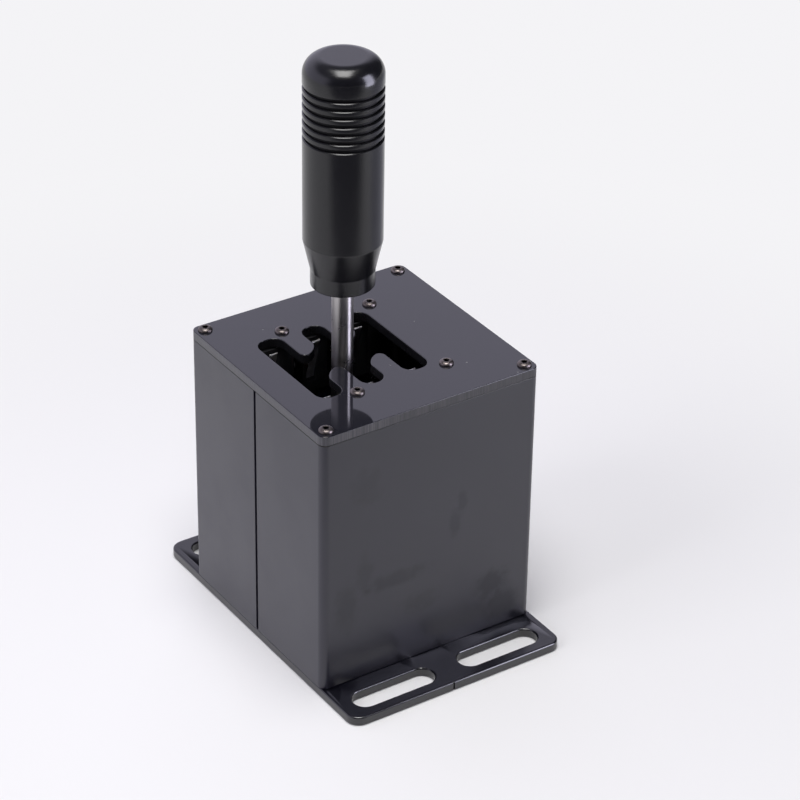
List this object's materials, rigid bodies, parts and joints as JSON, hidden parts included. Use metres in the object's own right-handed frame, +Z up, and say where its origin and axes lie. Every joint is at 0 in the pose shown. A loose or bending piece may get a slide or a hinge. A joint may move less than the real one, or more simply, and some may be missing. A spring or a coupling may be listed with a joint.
{
  "type": "sim racing gear shifter",
  "caption": "Upright lever shifter with a grooved knob, an H-pattern gate in the top plate of a split box case, and a slotted base plate.",
  "frame": {"origin": "middle of the base plate's underside", "axes": "+Z up along the lever, +X to the right across the front face, +Y to the rear"},
  "size_m": [0.1, 0.1444, 0.2482],
  "materials": {
    "case_black": "satin",
    "plate_black": "satin",
    "knob_black": "satin",
    "bright_steel": "polished",
    "screw_steel": "satin",
    "hardware_steel": "satin",
    "spring_steel": "polished",
    "bare_aluminium": "satin",
    "bush_bronze": "satin",
    "black_plastic": "matte",
    "plunger_red": "satin",
    "white_nylon": "matte",
    "contact_metal": "satin",
    "socket_metal": "satin",
    "board_blue": "satin",
    "wire_black": "matte"
  },
  "bodies": {
    "housing": {"base_plate": "plate_black", "front_shell": "case_black", "rear_shell": "case_black", "top_plate": "plate_black", "cover_screws": "screw_steel", "switch_bar_screws": "screw_steel", "base_screws": "screw_steel", "front_switch_bar": "black_plastic", "rear_switch_bar": "black_plastic", "microswitch_1": "black_plastic", "microswitch_2": "black_plastic", "microswitch_3": "black_plastic", "microswitch_4": "black_plastic", "microswitch_5": "black_plastic", "microswitch_6": "black_plastic", "switch_blade_1": "spring_steel", "switch_blade_2": "spring_steel", "switch_blade_3": "spring_steel", "switch_blade_4": "spring_steel", "switch_blade_5": "spring_steel", "switch_blade_6": "spring_steel", "switch_plungers": "plunger_red", "switch_terminals": "contact_metal", "switch_screws": "hardware_steel", "front_pivot_bracket": "bare_aluminium", "rear_pivot_bracket": "bare_aluminium", "bracket_screws": "hardware_steel", "pivot_bushes": "bush_bronze", "spring_seats": "black_plastic", "select_spring_left": "spring_steel", "select_spring_right": "spring_steel", "controller_board": "board_blue", "controller_chip": "black_plastic", "board_pins": "contact_metal", "board_standoffs": "white_nylon", "board_screws": "hardware_steel", "data_socket": "socket_metal", "data_socket_screws": "screw_steel", "data_lead": "wire_black", "front_loom": "wire_black", "rear_loom": "wire_black"},
    "yoke": {"gimbal_ring": "bare_aluminium", "trunnion_pins": "hardware_steel", "retaining_clips": "hardware_steel", "cross_bolt": "hardware_steel", "cross_nut": "hardware_steel", "side_washers": "white_nylon"},
    "lever": {"lever_hub": "bare_aluminium", "hub_bush": "bush_bronze", "lever_shaft": "bright_steel", "shaft_lock_nut": "hardware_steel", "knob": "knob_black"}
  },
  "joints": [
    {"name": "select", "type": "hinge", "parent": "housing", "child": "yoke", "pos_m": [-0.00985, 0, 0.024], "axis": [0, 1, 0], "range_deg": [-11.77, 11.77], "stiffness_Nm_per_rad": 3, "deforming": ["select_spring_left", "select_spring_right"]},
    {"name": "shift", "type": "hinge", "parent": "yoke", "child": "lever", "pos_m": [-0.00985, 0, 0.024], "axis": [1, 0, 0], "range_deg": [-10.78, 10.78], "deforming": ["switch_blade_1", "switch_blade_2", "switch_blade_3", "switch_blade_4", "switch_blade_5", "switch_blade_6"]}
  ]
}
